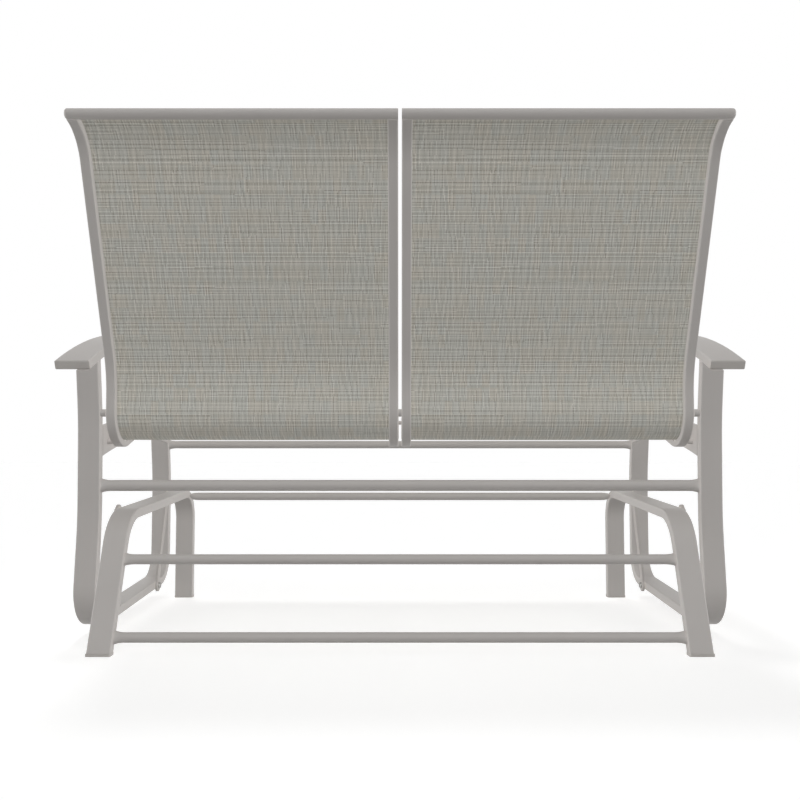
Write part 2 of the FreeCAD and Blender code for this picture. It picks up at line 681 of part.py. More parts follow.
def bar_plug(spot):
    """Plug in the bar's inner end, with a flange flush with the inner rail."""
    bar_end = INNER_RAIL_X + BAR_PLUG_FLANGE
    flange = rod(BAR_DIAMETER, INNER_RAIL_X, bar_end, spot)
    stem_diameter = BAR_DIAMETER - 2 * TUBE_WALL - 2 * PLUG_CLEARANCE
    stem = rod(stem_diameter, bar_end, bar_end + BAR_PLUG_LENGTH, spot)
    return flange.fuse(stem).removeSplitter()


def sling():
    """Stretched sheet from mouth to mouth of one panel's two hem grooves."""
    low = INNER_SLING_FACE - SLING_HEM
    high = OUTER_SLING_FACE + SLING_HEM
    half = SLING_THICKNESS / 2
    outline = [(low, -GROOVE_OFFSET - half, 0), (high, -GROOVE_OFFSET - half, 0),
               (high, -GROOVE_OFFSET + half, 0), (low, -GROOVE_OFFSET + half, 0)]
    sheet = rail_route.sweep(outline)
    for spot in (top_bar_spot, front_bar_spot):
        sheet = sheet.cut(rod(BAR_DIAMETER + 2 * COPE_GAP, -FAR, FAR, spot))
    return sheet


def spline_rod(face_x, away):
    """Round rod that keeps a hem in its channel."""
    into = face_x + away * (GROOVE_LIP + CHANNEL_SIZE / 2)
    spline = rail_route.sweep_round(into, -GROOVE_OFFSET, SPLINE_DIAMETER)
    for spot in (top_bar_spot, front_bar_spot):
        spline = spline.cut(rod(BAR_DIAMETER + 2 * COPE_GAP, -FAR, FAR, spot))
    return spline


# Stretchers, spacers, bolts and studs

def leg_spacer_spot():
    """Middle of the rail's hollow at the spacer's height on the back."""
    return rail_route.beside(rail_route.at_height(LEG_SPACER_HEIGHT, rearmost), CHAMBER_MIDDLE)


def under_seat(y):
    """Middle of the rail's hollow at a depth along the seat run."""
    probe = Part.makeLine(side(y, 0), side(y, LUMBAR_HEIGHT))
    return rail_route.beside(rail_route.crossing(probe, lowest), CHAMBER_MIDDLE)


def stretcher_spots():
    """Bolts near the rear and front legs, at the height of the seat's knee run between them."""
    knee_height = seat_run()[1].z
    rear_leg = seat_route.at_height(knee_height, rearmost)
    front_leg = seat_route.at_height(knee_height, foremost)
    return [under_seat(rear_leg.y - STRETCHER_BOLT_INSET), under_seat(front_leg.y + STRETCHER_BOLT_INSET)]


def stretcher():
    """Arched plate between the legs, flush with their inner faces."""
    rear_bolt, front_bolt = stretcher_spots()
    middle = under_seat((rear_bolt.y + front_bolt.y) / 2)
    rear_y = seat_route.at_height(rear_bolt.z, rearmost).y
    front_y = seat_route.at_height(front_bolt.z, foremost).y
    edges = [(-STRETCHER_REAR_BELOW, -STRETCHER_MIDDLE_BELOW, -STRETCHER_FRONT_BELOW),
             (STRETCHER_REAR_ABOVE, STRETCHER_MIDDLE_ABOVE, STRETCHER_FRONT_ABOVE)]
    arcs = []
    for rear, mid, front in edges:
        spots = [side(rear_y, rear_bolt.z + rear, SEAT_INNER_X),
                 side(middle.y, middle.z + mid, SEAT_INNER_X),
                 side(front_y, front_bolt.z + front, SEAT_INNER_X)]
        arcs.append(Part.Arc(*spots).toShape())
    ends = [Part.makeLine(arcs[0].Vertexes[i].Point, arcs[1].Vertexes[i].Point) for i in (0, 1)]
    face = Part.Face(Part.Wire([arcs[0], ends[1], arcs[1], ends[0]]))
    plate = face.extrude(X_AXIS * STRETCHER_THICKNESS)
    plate = plate.cut(seat_route.sweep(flat_outline(SEAT_INNER_X, -WELD_GAP)))
    for spot in [*stretcher_spots(), leg_spacer_spot()]:
        plate = plate.cut(rod(FRAME_HOLE, 0, FAR, spot))
    return max(plate.Solids, key=lambda solid: solid.Volume)


def spacer(diameter, spot):
    ring = rod(diameter, OUTER_RAIL_X, SEAT_INNER_X, spot)
    return ring.cut(rod(FRAME_HOLE, 0, FAR, spot))


def stretcher_bolt(spot):
    """Bolt from outside the stretcher, through its spacer, into the rail."""
    head_x = SEAT_INNER_X + STRETCHER_THICKNESS
    shank = rod(FRAME_BOLT_DIAMETER, OUTER_RAIL_X - BOLT_INTO_RAIL, head_x, spot)
    head = button_head(FRAME_HEAD_DIAMETER, FRAME_HEAD_HEIGHT, head_x, 1, spot)
    return shank.fuse(head).removeSplitter()


def leg_bolt(spot):
    """Headless bolt from the rail's hollow, through the spacer, into the leg."""
    return rod(FRAME_BOLT_DIAMETER, OUTER_RAIL_X - BOLT_INTO_RAIL, SEAT_INNER_X + STUD_INTO_LEG, spot)


def centre_stud(diameter, spot):
    """Stud between the two inner rails, with a shank into each."""
    collar = rod(diameter, -INNER_RAIL_X, INNER_RAIL_X, spot)
    reach = INNER_RAIL_X + BOLT_INTO_RAIL
    return collar.fuse(rod(FRAME_BOLT_DIAMETER, -reach, reach, spot)).removeSplitter()


def build_base():
    save_pair("base_side", base_side())
    rear_foot = foot_glide(BASE_REAR_FOOT_Y, BASE_REAR_LEAN)
    front_foot = foot_glide(BASE_FRONT_LEG_Y, 0.0)
    save_both_sides("foot_glides_rear", rear_foot)
    save_both_sides("foot_glides_front", front_foot)
    lower = base_route.at_height(BASE_LOWER_TUBE_HEIGHT, rearmost)
    middle = base_route.at_height(BASE_MIDDLE_TUBE_HEIGHT, rearmost)
    front = base_route.at_depth(FRONT_PIVOT_Y - BASE_FRONT_TUBE_AHEAD)
    save("base_lower_tube", cross_tube(TUBE_DIAMETER, BASE_INNER_X, base_route, lower))
    save("base_middle_tube", cross_tube(TUBE_DIAMETER, BASE_INNER_X, base_route, middle))
    save("base_front_tube", cross_tube(TUBE_DIAMETER, BASE_INNER_X, base_route, front))
    save_both_sides("upper_pivot_bolts", *[upper_bolt(spot) for spot in UPPER_PIVOTS])
    wall = BASE_HALF_WIDTH - FLAT_WALL
    inserts = threaded_inserts(UPPER_INSERT_END, wall, base_route, BASE_INNER_X, UPPER_PIVOTS)
    save_both_sides("upper_pivot_nuts", *inserts)


def build_hangers():
    upper_flange = BASE_HALF_WIDTH + RUNNING_GAP
    lower_flange = SEAT_INNER_X - RUNNING_GAP - BUSH_FLANGE
    for place, upper, lower in zip(("front", "rear"), UPPER_PIVOTS, LOWER_PIVOTS):
        save_pair("hanger_" + place, hanger(upper, lower))
        bushes = [bush(upper, UPPER_EYE_X, upper_flange), bush(lower, LOWER_EYE_X, lower_flange)]
        save_pair("hanger_bushes_" + place, *bushes)


def build_seat_frame():
    save_pair("seat_side", seat_side())
    bar, front_cap, rear_cap = arm_pieces()
    save_pair("armrest", bar)
    save_pair("armrest_caps", front_cap, rear_cap)
    save_pair("side_stretcher", stretcher())
    rear_spot = seat_route.at_height(SEAT_REAR_TUBE_HEIGHT, rearmost)
    save("seat_rear_tube", cross_tube(SEAT_REAR_TUBE_DIAMETER, SEAT_INNER_X, seat_route, rear_spot))
    front_tube = cross_tube(TUBE_DIAMETER, SEAT_INNER_X, seat_route, seat_front_tube_spot)
    post = front_post()
    save("seat_front_tube", front_tube.fuse([post, mirrored(post)]))
    save_both_sides("lower_pivot_bolts", *[lower_bolt(spot) for spot in LOWER_PIVOTS])
    wall = SEAT_INNER_X + FLAT_WALL
    inserts = threaded_inserts(wall, LOWER_INSERT_END, seat_route, SEAT_INNER_X, LOWER_PIVOTS)
    save_both_sides("lower_pivot_nuts", *inserts)


def build_slings():
    leg_spot = leg_spacer_spot()
    bolted = stretcher_spots()
    middle_spots = [leg_spot, bolted[1]]
    save_pair("sling_rail_outer", sling_rail(OUTER_SLING_FACE, 1, [leg_spot, *bolted]))
    save_pair("sling_rail_inner", sling_rail(INNER_SLING_FACE, -1, middle_spots))
    save_pair("top_bar", cross_bar(top_bar_spot))
    save_pair("front_bar", cross_bar(front_bar_spot))
    save_both_sides("bar_plugs", bar_plug(top_bar_spot), bar_plug(front_bar_spot))
    save_pair("sling", sling())
    save_pair("spline_rods", spline_rod(OUTER_SLING_FACE, 1), spline_rod(INNER_SLING_FACE, -1))
    save_both_sides("leg_spacers", spacer(LEG_SPACER_DIAMETER, leg_spot))
    save_both_sides("leg_bolts", leg_bolt(leg_spot))
    save_both_sides("stretcher_spacers", *[spacer(STRETCHER_SPACER_DIAMETER, spot) for spot in bolted])
    save_both_sides("stretcher_bolts", *[stretcher_bolt(spot) for spot in bolted])
    studs = [centre_stud(LEG_SPACER_DIAMETER, middle_spots[0]),
             centre_stud(STRETCHER_SPACER_DIAMETER, middle_spots[1])]
    save("centre_studs", *studs)


os.makedirs("parts", exist_ok=True)
build_base()
build_hangers()
build_seat_frame()
build_slings()
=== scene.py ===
# %% [markdown]
# # Dressing a two-seat sling glider
#
# The glider arrives as a finished set of solids: bent flat tubes, round cross tubes, hanger
# straps, arched arms and grooved rails. This lesson gives every surface its finish, models the
# screws, stretches two woven slings between the rails, closes the tops of the rear legs, and sets
# the part in a plain studio. The solids stay where they are, in metres, and nothing moves them.

# %% Load the solids
import json
import math

import bmesh
import bpy
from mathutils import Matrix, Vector


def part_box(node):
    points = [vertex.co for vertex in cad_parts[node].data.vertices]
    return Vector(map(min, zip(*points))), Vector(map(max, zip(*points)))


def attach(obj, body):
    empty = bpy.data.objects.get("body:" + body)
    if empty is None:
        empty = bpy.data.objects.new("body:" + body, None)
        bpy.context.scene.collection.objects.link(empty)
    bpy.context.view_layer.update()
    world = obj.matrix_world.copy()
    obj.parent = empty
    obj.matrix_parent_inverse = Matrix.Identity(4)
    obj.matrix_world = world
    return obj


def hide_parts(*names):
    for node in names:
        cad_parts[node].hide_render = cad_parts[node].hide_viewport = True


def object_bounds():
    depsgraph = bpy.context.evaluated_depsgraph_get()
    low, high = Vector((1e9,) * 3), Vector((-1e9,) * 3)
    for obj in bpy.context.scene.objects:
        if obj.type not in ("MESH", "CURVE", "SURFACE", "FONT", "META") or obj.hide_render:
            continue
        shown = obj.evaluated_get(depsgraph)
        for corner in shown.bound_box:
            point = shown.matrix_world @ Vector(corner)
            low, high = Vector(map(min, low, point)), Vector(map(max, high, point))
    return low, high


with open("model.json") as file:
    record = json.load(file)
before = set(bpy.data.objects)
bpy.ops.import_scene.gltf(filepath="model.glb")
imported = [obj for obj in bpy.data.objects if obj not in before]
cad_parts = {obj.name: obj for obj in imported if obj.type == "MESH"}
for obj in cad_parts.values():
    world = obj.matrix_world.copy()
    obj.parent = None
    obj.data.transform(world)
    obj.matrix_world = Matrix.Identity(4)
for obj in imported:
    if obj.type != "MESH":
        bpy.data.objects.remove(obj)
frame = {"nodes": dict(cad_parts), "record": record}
nodes = frame["nodes"]
cad_low, cad_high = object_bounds()
MM = 0.001
print("solids", len(nodes), "box", [round(b - a, 3) for a, b in zip(cad_low, cad_high)])

# %% [markdown]
# ## Colours and nodes
#
# Colours are written as a painter would read them off a screen, in sRGB hex, and the shaders work
# in linear light, so one function turns the first into the second. A second small function adds a
# node to a tree with its settings and links, which keeps each recipe below readable from top to
# bottom. A Mix node has a set of sockets for each type of data, all under the same names, so the
# ones for colours are picked by their number.

# %% Helpers for every material
MIX_A, MIX_B, MIX_RESULT = 6, 7, 2


def linear(hex_colour):
    """Linear RGBA of an sRGB hex colour."""
    shares = [int(hex_colour[i:i + 2], 16) / 255 for i in (1, 3, 5)]
    return [c / 12.92 if c <= 0.04045 else ((c + 0.055) / 1.055) ** 2.4 for c in shares] + [1.0]


def add(tree, kind, inputs=None, **settings):
    """A new node with its settings, each input either a value or the socket that feeds it."""
    node = tree.nodes.new(kind)
    for name, value in settings.items():
        setattr(node, name, value)
    for name, value in (inputs or {}).items():
        if isinstance(value, bpy.types.NodeSocket):
            tree.links.new(value, node.inputs[name])
        else:
            node.inputs[name].default_value = value
    return node


def empty_tree(owner):
    """The node tree of a new material or world, with nothing in it yet."""
    owner.use_nodes = True
    owner.node_tree.nodes.clear()
    return owner.node_tree


WHITE = linear("#FFFFFF")
print("white is", WHITE)

# %% [markdown]
# ## Camera
#
# The picture was taken from straight behind and low down, so the seat is seen from below and the
# top bar stands near the upper edge. A camera on the centre line at about knee height, tilted up a
# little, gives the same meeting of the legs with the floor. The lens could be shifted upwards
# instead, but every other view would keep that shift, so a tilt is the better habit.

# %% Camera behind the glider
CAMERA_DISTANCE = 1.864
CAMERA_HEIGHT = 0.377
CAMERA_TILT = 3.2
CAMERA_LENS = 38.61
CAMERA_SENSOR = 36.0

bpy.ops.object.camera_add(location=(0, CAMERA_DISTANCE, CAMERA_HEIGHT),
                          rotation=(math.radians(90 + CAMERA_TILT), 0, math.radians(180)))
camera = bpy.context.object
camera.data.lens = CAMERA_LENS
camera.data.sensor_width = CAMERA_SENSOR
bpy.context.scene.camera = camera
print("camera at", tuple(camera.location))

# %% [markdown]
# ## Studio
#
# The floor and the backdrop are both white, with a shadow so faint that it hardly shows. A floor
# that only reflects would come out greyer than the backdrop, so where the camera looks, the floor
# is white and a little glow of its own lifts it to the backdrop's level. For light that bounces it
# is a pale grey board, so the glow never lights the object. The backdrop is split in the same way.

# %% White floor
FLOOR_SIZE = 40.0
FLOOR_GLOW = 0.23
FLOOR_BOARD = "#D8D8D8"


def seen_directly(tree):
    """1 where the camera, a reflection or a clear surface looks, 0 for light that bounces."""
    path = add(tree, "ShaderNodeLightPath").outputs
    mirror = add(tree, "ShaderNodeMath", {0: path["Is Camera Ray"], 1: path["Is Glossy Ray"]},
                 operation="MAXIMUM")
    clear = add(tree, "ShaderNodeMath", {0: mirror.outputs[0], 1: path["Is Transmission Ray"]},
                operation="MAXIMUM")
    return clear.outputs[0]


def white_floor():
    """White with a glow where it is looked at, and a pale grey board for light that bounces."""
    material = bpy.data.materials.new("white_studio_floor")
    tree = empty_tree(material)
    board = add(tree, "ShaderNodeBsdfDiffuse", {"Color": linear(FLOOR_BOARD)})
    white = add(tree, "ShaderNodeBsdfDiffuse", {"Color": WHITE})
    glow = add(tree, "ShaderNodeEmission", {"Color": WHITE, "Strength": FLOOR_GLOW})
    bright = add(tree, "ShaderNodeAddShader", {0: white.outputs[0], 1: glow.outputs[0]})
    split = add(tree, "ShaderNodeMixShader",
                {0: seen_directly(tree), 1: board.outputs[0], 2: bright.outputs[0]})
    add(tree, "ShaderNodeOutputMaterial", {"Surface": split.outputs[0]})
    return material


bpy.ops.mesh.primitive_plane_add(size=FLOOR_SIZE)
floor = bpy.context.object
floor.name = "studio_floor"
floor.data.materials.append(white_floor())
print("made", floor.name, "with", floor.data.materials[0].name)

# %% White backdrop
WORLD_LIGHT = 0.04

world = bpy.data.worlds.new("white_studio")
bpy.context.scene.world = world
sky = empty_tree(world)
soft = add(sky, "ShaderNodeBackground", {"Color": WHITE, "Strength": WORLD_LIGHT})
white = add(sky, "ShaderNodeBackground", {"Color": WHITE, "Strength": 1.0})
split = add(sky, "ShaderNodeMixShader",
            {0: seen_directly(sky), 1: soft.outputs[0], 2: white.outputs[0]})
add(sky, "ShaderNodeOutputWorld", {"Surface": split.outputs[0]})
print("made", world.name)

# %% [markdown]
# ## Lamps
#
# In the picture the tone of a face depends almost only on which way it points: side faces are
# lightest, faces that look up come next, and faces that look down are dimmest. Lamps that stand
# near the glider would shade it from one end to the other, so the light is six broad suns, which
# give one tone to each direction. The one high in front casts the shadow, and the other five fill
# without any.

# %% Six suns
# Each lamp has the way to it from the glider, its strength, its spread in degrees, and whether it
# casts a shadow. How far off a sun stands makes no difference to its light.
LAMPS = {
    "rear_top": ((0, 0.26, 0.97), 0.2, 50, False),
    "rear": ((0, 0.7, 0.7), 1.43, 50, False),
    "front_top": ((0.1, -0.29, 0.95), 0.42, 10, True),
    "front": ((0, -1.0, 0.1), 0.45, 50, False),
    "left": ((1.0, 0.05, 0.1), 2.05, 50, False),
    "right": ((-1.0, 0.05, 0.1), 2.05, 50, False),
}
LAMP_DISTANCE = 4.0

for name, (way, strength, spread, shadow) in LAMPS.items():
    turn = Vector(way).to_track_quat("Z", "Y").to_euler()
    bpy.ops.object.light_add(type="SUN", location=Vector(way) * LAMP_DISTANCE, rotation=turn)
    lamp = bpy.context.object
    lamp.name = name + "_lamp"
    lamp.data.angle = math.radians(spread)
    lamp.data.energy = strength
    lamp.data.use_shadow = shadow
bpy.context.scene.view_settings.view_transform = "Standard"
print("lamps", list(LAMPS))

# %% [markdown]
# ## Powder coat
#
# The frame is aluminium under a baked polymer powder. The powder melts and flows before it sets,
# which leaves a soft satin gloss and a faint orange-peel ripple, and the tone drifts very slightly
# along each tube. A plain grey would do from afar, but close up it would look like plastic. The
# ripple is a couple of millimetres across, so one noise is drawn at that size, as a bump and as
# uneven gloss, and a slower one carries the tone.

# %% Powder-coated aluminium
TONE_DRIFT = 90 * MM
PEEL_SIZE = 2.2 * MM
PEEL_DEPTH = 0.2 * MM
COAT_GLOSSIEST, COAT_DULLEST = 0.48, 0.6
COAT_SPECULAR = 0.35


def powder_coat(name, colour, deep_colour):
    """Satin powder coat: slow drift between two tones, orange-peel ripple, uneven gloss."""
    material = bpy.data.materials.new(name)
    tree = empty_tree(material)
    place = add(tree, "ShaderNodeTexCoord").outputs["Object"]
    drift = add(tree, "ShaderNodeTexNoise",
                {"Vector": place, "Scale": 1 / TONE_DRIFT, "Detail": 3.0})
    tone = add(tree, "ShaderNodeMix", {0: drift.outputs[0], MIX_A: linear(deep_colour),
                                       MIX_B: linear(colour)}, data_type="RGBA")
    peel = add(tree, "ShaderNodeTexNoise",
               {"Vector": place, "Scale": 1 / PEEL_SIZE, "Detail": 2.0})
    gloss = add(tree, "ShaderNodeMapRange",
                {"Value": peel.outputs[0], "To Min": COAT_GLOSSIEST, "To Max": COAT_DULLEST})
    bump = add(tree, "ShaderNodeBump",
               {"Height": peel.outputs[0], "Strength": 0.08, "Distance": PEEL_DEPTH})
    shader = add(tree, "ShaderNodeBsdfPrincipled",
                 {"Base Color": tone.outputs[MIX_RESULT], "Roughness": gloss.outputs[0],
                  "Normal": bump.outputs[0], "Specular IOR Level": COAT_SPECULAR})
    add(tree, "ShaderNodeOutputMaterial", {"Surface": shader.outputs[0]})
    return material


frame_coat = powder_coat("powder_coated_aluminium", "#ACA8A5", "#A7A3A0")
hanger_coat = powder_coat("powder_coated_steel_strap", "#AAA6A2", "#A5A09D")
print("made", frame_coat.name, hanger_coat.name)

# %% [markdown]
# ## Hardware
#
# The screws and nuts are plain stainless steel. Turning leaves fine rings round them, which break
# up the gloss and dull the metal a little. An anisotropic shader could stretch the highlights along
# the rings, but the heads are a few pixels wide here, so a noise that is squeezed along the screw
# is enough, and simpler.

# %% Turned stainless steel
RING_WIDTH = 1.2 * MM
RINGS_SQUEEZE = (6.0, 1.0, 1.0)
STEEL_GLOSSIEST, STEEL_DULLEST = 0.34, 0.5
STEEL_TONE, STEEL_DEEP_TONE = "#A8A7A4", "#8F8E8C"


def stainless(name):
    """Turned stainless steel: fine rings from the tool show as streaks in tone and gloss."""
    material = bpy.data.materials.new(name)
    tree = empty_tree(material)
    place = add(tree, "ShaderNodeTexCoord").outputs["Object"]
    squeezed = add(tree, "ShaderNodeMapping", {"Vector": place, "Scale": RINGS_SQUEEZE})
    rings = add(tree, "ShaderNodeTexNoise",
                {"Vector": squeezed.outputs[0], "Scale": 1 / RING_WIDTH, "Detail": 2.0})
    gloss = add(tree, "ShaderNodeMapRange",
                {"Value": rings.outputs[0], "To Min": STEEL_GLOSSIEST, "To Max": STEEL_DULLEST})
    tone = add(tree, "ShaderNodeMix", {0: rings.outputs[0], MIX_A: linear(STEEL_DEEP_TONE),
                                       MIX_B: linear(STEEL_TONE)}, data_type="RGBA")
    shader = add(tree, "ShaderNodeBsdfPrincipled",
                 {"Base Color": tone.outputs[MIX_RESULT], "Roughness": gloss.outputs[0],
                  "Metallic": 1.0})
    add(tree, "ShaderNodeOutputMaterial", {"Surface": shader.outputs[0]})
    return material


bolt_steel = stainless("turned_stainless_steel")
print("made", bolt_steel.name)

# %% [markdown]
# ## Mouldings
#
# Foot glides, arm caps and bar plugs are moulded polypropylene in the frame's colour, with the
# grain of an etched mould. The bushes are moulded nylon in its natural off-white, and the rods in
# the sling's hems are extruded vinyl. They differ only in colour, grain and gloss, so one recipe
# makes all three. Real grain is finer than a millimetre, so it is drawn coarser, where it can show.

# %% Polypropylene, nylon and vinyl
CLOUD_SIZE = 25 * MM
GRAIN_DEPTH = 0.1 * MM
PLASTIC_IOR = 1.49


def moulded(name, colour, deep_colour, grain, roughness):
    """Moulded plastic: etched grain as bump, and a slight cloudiness in the colour."""
    material = bpy.data.materials.new(name)
    tree = empty_tree(material)
    place = add(tree, "ShaderNodeTexCoord").outputs["Object"]
    cloud = add(tree, "ShaderNodeTexNoise",
                {"Vector": place, "Scale": 1 / CLOUD_SIZE, "Detail": 2.0})
    tone = add(tree, "ShaderNodeMix", {0: cloud.outputs[0], MIX_A: linear(deep_colour),
                                       MIX_B: linear(colour)}, data_type="RGBA")
    etch = add(tree, "ShaderNodeTexVoronoi", {"Vector": place, "Scale": 1 / grain})
    bump = add(tree, "ShaderNodeBump", {"Height": etch.outputs["Distance"], "Strength": 0.15,
                                        "Distance": GRAIN_DEPTH})
    shader = add(tree, "ShaderNodeBsdfPrincipled",
                 {"Base Color": tone.outputs[MIX_RESULT], "Roughness": roughness,
                  "Normal": bump.outputs[0], "IOR": PLASTIC_IOR})
    add(tree, "ShaderNodeOutputMaterial", {"Surface": shader.outputs[0]})
    return material


cap_plastic = moulded("moulded_polypropylene", "#A9A5A1", "#A29E9A", 1.1 * MM, 0.55)
bush_nylon = moulded("natural_nylon", "#C9C6BD", "#BDBAB0", 0.9 * MM, 0.45)
spline_vinyl = moulded("extruded_vinyl_rod", "#D4D3CF", "#CBC9C4", 1.4 * MM, 0.4)
print("made", cap_plastic.name, bush_nylon.name, spline_vinyl.name)

# %% [markdown]
# ## Woven sling mesh
#
# The slings are plain-woven from coated polyester yarns in greys and tans. A yarn keeps one shade
# for a while and then changes: the weft holds its shade for most of a panel's width, and the warp
# changes every few centimetres. Pale and dark yarns take turns, so the cloth reads as a faint plaid
# of long lines across and short lines up. Small patches lean warm or cool where yarns of one dye
# lie together. Every yarn could be modelled, but its crossings would run to hundreds of thousands,
# so the weave is a pattern on the sheet's own flat coordinates in metres. Real yarns are about a
# millimetre apart, which is too fine for the picture, so they are drawn coarser, where the lines
# just show.

# %% Yarns
YARN_PITCH = 2.4 * MM
TURN_TAKING = 0.75


def yarn_share(tree, across, along, dash, seed):
    """A random share for each dash along each yarn, where every yarn has a start of its own."""
    yarn = add(tree, "ShaderNodeMath", {0: across}, operation="FLOOR")
    start = add(tree, "ShaderNodeTexWhiteNoise", {"W": yarn.outputs[0]}, noise_dimensions="1D")
    shifted = add(tree, "ShaderNodeMath", {0: along, 1: 1 / dash, 2: start.outputs["Value"]},
                  operation="MULTIPLY_ADD")
    step = add(tree, "ShaderNodeMath", {0: shifted.outputs[0]}, operation="FLOOR")
    cell = add(tree, "ShaderNodeCombineXYZ", {0: yarn.outputs[0], 1: step.outputs[0], 2: seed})
    share = add(tree, "ShaderNodeTexWhiteNoise", {"Vector": cell.outputs[0]},
                noise_dimensions="3D")
    return share.outputs["Value"]


def yarn_shade(tree, across, along, dash, seed):
    """A yarn's own share less part of its neighbour's, so that pale and dark take turns."""
    beside = add(tree, "ShaderNodeMath", {0: across, 1: 1.0}, operation="ADD")
    neighbour = yarn_share(tree, beside.outputs[0], along, dash, seed)
    own = yarn_share(tree, across, along, dash, seed)
    turns = add(tree, "ShaderNodeMath", {0: neighbour, 1: -TURN_TAKING, 2: own},
                operation="MULTIPLY_ADD")
    shade = add(tree, "ShaderNodeMapRange",
                {"Value": turns.outputs[0], "From Min": -TURN_TAKING, "From Max": 1.0})
    return shade.outputs[0]


def yarn_round(tree, across):
    """Height over one yarn's width: 1 along its middle and 0 in the gap beside it."""
    place = add(tree, "ShaderNodeMath", {0: across}, operation="FRACT")
    centred = add(tree, "ShaderNodeMath", {0: place.outputs[0], 1: 0.5}, operation="SUBTRACT")
    squared = add(tree, "ShaderNodeMath", {0: centred.outputs[0], 1: centred.outputs[0]},
                  operation="MULTIPLY")
    height = add(tree, "ShaderNodeMath", {0: squared.outputs[0], 1: -4.0, 2: 1.0},
                 operation="MULTIPLY_ADD")
    return height.outputs[0]


print("yarns drawn", round(YARN_PITCH / MM, 2), "mm apart")

# %% Coated polyester mesh
WARP_DASH, WARP_SEED = 27 * MM, 3.0
WEFT_DASH, WEFT_SEED = 500 * MM, 8.0
WEFT_UNDER, WEFT_OVER = 0.42, 0.66
DARK_YARN, PALE_YARN = "#848279", "#DCDAD2"
PATCH_WIDTH, PATCH_HEIGHT = 15 * MM, 27 * MM
COOL_TINT, WARM_TINT = "#FBFDFF", "#FFFCF9"
PIT_RISE, PIT_SHADE = 0.4, 0.86
YARN_RISE = 0.4 * MM
CLOTH_IOR, CLOTH_SPECULAR, CLOTH_ROUGHNESS = 1.5, 0.3, 0.7


def dye_tint(tree, flat):
    """A slight lean to cool or warm, the same all over each small patch."""
    patches = add(tree, "ShaderNodeVectorMath",
                  {0: flat, 1: (1 / PATCH_WIDTH, 1 / PATCH_HEIGHT, 1.0)}, operation="MULTIPLY")
    patch = add(tree, "ShaderNodeVectorMath", {0: patches.outputs[0]}, operation="FLOOR")
    lean = add(tree, "ShaderNodeTexWhiteNoise", {"Vector": patch.outputs[0]},
               noise_dimensions="2D")
    tint = add(tree, "ShaderNodeMix", {0: lean.outputs["Value"], MIX_A: linear(COOL_TINT),
                                       MIX_B: linear(WARM_TINT)}, data_type="RGBA")
    return tint.outputs[MIX_RESULT]


def sling_mesh(name):
    """Plain weave: yarns that pass over and under each other, painted shade in the pits between
    them, a matt coat.
    """
    material = bpy.data.materials.new(name)
    tree = empty_tree(material)
    flat = add(tree, "ShaderNodeUVMap", uv_map="flat").outputs[0]
    counted = add(tree, "ShaderNodeVectorMath", {0: flat, "Scale": 1 / YARN_PITCH},
                  operation="SCALE").outputs[0]
    split = add(tree, "ShaderNodeSeparateXYZ", {0: counted})
    u, v = split.outputs[0], split.outputs[1]
    warp = yarn_shade(tree, u, v, WARP_DASH / YARN_PITCH, WARP_SEED)
    weft = yarn_shade(tree, v, u, WEFT_DASH / YARN_PITCH, WEFT_SEED)
    over = add(tree, "ShaderNodeTexChecker", {"Vector": counted, "Scale": 1.0})
    lifted = add(tree, "ShaderNodeMapRange",
                 {"Value": over.outputs["Fac"], "To Min": WEFT_UNDER, "To Max": WEFT_OVER})
    share = add(tree, "ShaderNodeMix", {"Factor": lifted.outputs[0], "A": warp, "B": weft})
    cloth = add(tree, "ShaderNodeMix", {0: share.outputs[0], MIX_A: linear(DARK_YARN),
                                        MIX_B: linear(PALE_YARN)}, data_type="RGBA")
    tinted = add(tree, "ShaderNodeMix", {0: 1.0, MIX_A: cloth.outputs[MIX_RESULT],
                                         MIX_B: dye_tint(tree, flat)},
                 data_type="RGBA", blend_type="MULTIPLY")
    height = add(tree, "ShaderNodeMath", {0: yarn_round(tree, u), 1: yarn_round(tree, v)},
                 operation="MULTIPLY").outputs[0]
    # Painted shade: the colour is darkened where the yarns dip into the pits between them, on top of
    # the bump.
    painted_pit_shade = add(tree, "ShaderNodeMapRange", {"Value": height, "From Max": PIT_RISE,
                                           "To Min": PIT_SHADE})
    shaded = add(tree, "ShaderNodeVectorMath",
                 {0: tinted.outputs[MIX_RESULT], "Scale": painted_pit_shade.outputs[0]}, operation="SCALE")
    bump = add(tree, "ShaderNodeBump", {"Height": height, "Strength": 0.3, "Distance": YARN_RISE})
    shader = add(tree, "ShaderNodeBsdfPrincipled",
                 {"Base Color": shaded.outputs[0], "Normal": bump.outputs[0], "IOR": CLOTH_IOR,
                  "Specular IOR Level": CLOTH_SPECULAR, "Roughness": CLOTH_ROUGHNESS})
    add(tree, "ShaderNodeOutputMaterial", {"Surface": shader.outputs[0]})
    return material


sling_cloth = sling_mesh("woven_coated_polyester")
print("made", sling_cloth.name, "with", len(sling_cloth.node_tree.nodes), "nodes")

# %% [markdown]
# ## Finishes onto the solids
#
# Each solid could be given its material by hand, but one is soon forgotten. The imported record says
# which finish each solid takes, so a loop over that list dresses all of them.

# %% Dress every solid
FINISHES = {
    "frame_coat": frame_coat,
    "hanger_coat": hanger_coat,
    "bush_nylon": bush_nylon,
    "bolt_steel": bolt_steel,
    "moulded_cap": cap_plastic,
    "sling_mesh": sling_cloth,
    "spline_cord": spline_vinyl,
}
for subpart in frame["record"]["subparts"]:
    mesh = nodes[subpart["node"]].data
    mesh.materials.clear()
    mesh.materials.append(FINISHES[subpart["material_slot"]])

# %% [markdown]
# ## Socket screws
#
# The hangers turn on M8 button-head screws, and M6 ones hold the stretchers to the rails. A button
# head is pressed to a low dome and then broached with a hexagon for the key. The solids have the
# plain dome only, so each screw is modelled again: a short cylinder with its rim rounded over by a
# wide bevel, a shank extruded from the underside, and a six-sided cutter for the socket. A spin
# would give the dome too, but the bevel keeps the flat that the socket needs.

# %% Pick what the next step works on
SQUARE_ON = 0.99


